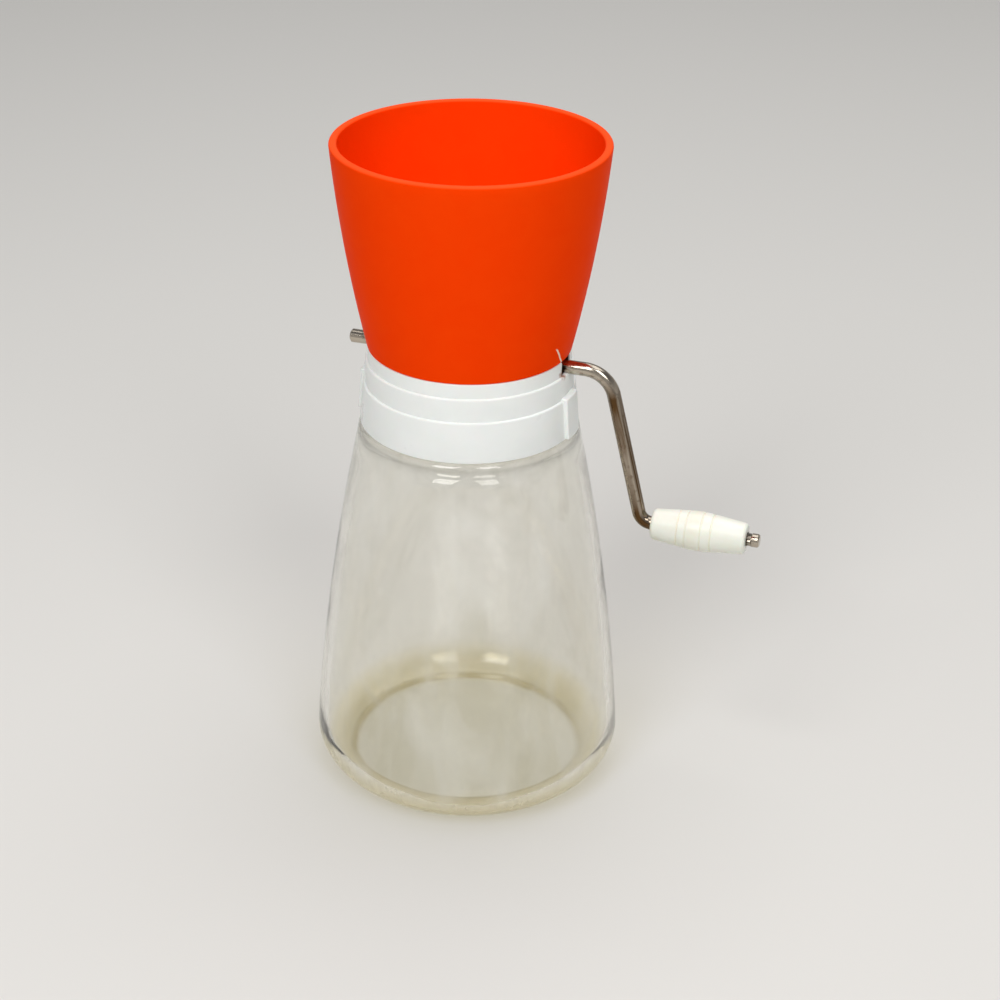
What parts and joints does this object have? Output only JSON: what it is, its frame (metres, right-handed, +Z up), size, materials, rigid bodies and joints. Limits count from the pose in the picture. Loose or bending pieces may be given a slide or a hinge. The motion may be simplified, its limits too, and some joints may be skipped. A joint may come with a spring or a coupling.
{
  "type": "hand-cranked nut chopper",
  "caption": "Hand-cranked nut chopper: flared hopper plugged into a screw collar on a bell-shaped glass jar, with a wire crank turning toothed wheels between riveted combs.",
  "frame": {"origin": "centre of the ring that the jar rests on", "axes": "+Z up along the jar's axis, +X along the crank's shaft towards the handle"},
  "size_m": [0.128, 0.089, 0.1894],
  "materials": {
    "jar_glass": "clear pressed glass with a faint olive tint",
    "seal_rubber": "matt",
    "white_plastic": "semi-gloss moulded",
    "orange_plastic": "glossy moulded",
    "ivory_plastic": "glossy moulded",
    "nickel_wire": "nickel plated, slightly worn",
    "tinned_steel": "tinned, stamped",
    "rivet_steel": "plated",
    "spring_steel": "blued spring steel",
    "spacer_steel": "plated tube"
  },
  "bodies": {
    "jar": {"glass_jar": "jar_glass"},
    "seal": {"jar_seal_ring": "seal_rubber"},
    "head": {"screw_collar": "white_plastic", "coarse_comb": "tinned_steel", "fine_comb": "tinned_steel", "comb_rivets": "rivet_steel"},
    "hopper": {"hopper": "orange_plastic"},
    "crank": {"crank_rod": "nickel_wire", "left_push_nut": "spring_steel", "right_push_nut": "spring_steel", "chopping_wheel_1": "tinned_steel", "chopping_wheel_2": "tinned_steel", "chopping_wheel_3": "tinned_steel", "chopping_wheel_4": "tinned_steel", "chopping_wheel_5": "tinned_steel", "wheel_spacer_1": "spacer_steel", "wheel_spacer_2": "spacer_steel", "wheel_spacer_3": "spacer_steel", "wheel_spacer_4": "spacer_steel"},
    "grip": {"handle_grip": "ivory_plastic"}
  },
  "joints": [
    {"name": "head_rise", "type": "slide", "parent": "jar", "child": "seal", "axis": [0, 0, 1], "range_m": [0, 0.0042]},
    {"name": "head_unscrew", "type": "hinge", "parent": "seal", "child": "head", "pos_m": [0, 0, 0.123], "axis": [0, 0, 1], "range_deg": [0, 360]},
    {"name": "hopper_lift", "type": "slide", "parent": "head", "child": "hopper", "axis": [0, 0, 1], "range_m": [0, 0.03]},
    {"name": "crank_turn", "type": "hinge", "parent": "head", "child": "crank", "pos_m": [0, 0, 0.1294], "axis": [1, 0, 0], "continuous": true},
    {"name": "grip_spin", "type": "hinge", "parent": "crank", "child": "grip", "pos_m": [0.0667, 0, 0.086], "axis": [1, 0, 0], "continuous": true}
  ],
  "couplings": [
    {"joint": "head_rise", "follows": "head_unscrew", "m_per_rad": 0.00066845}
  ]
}
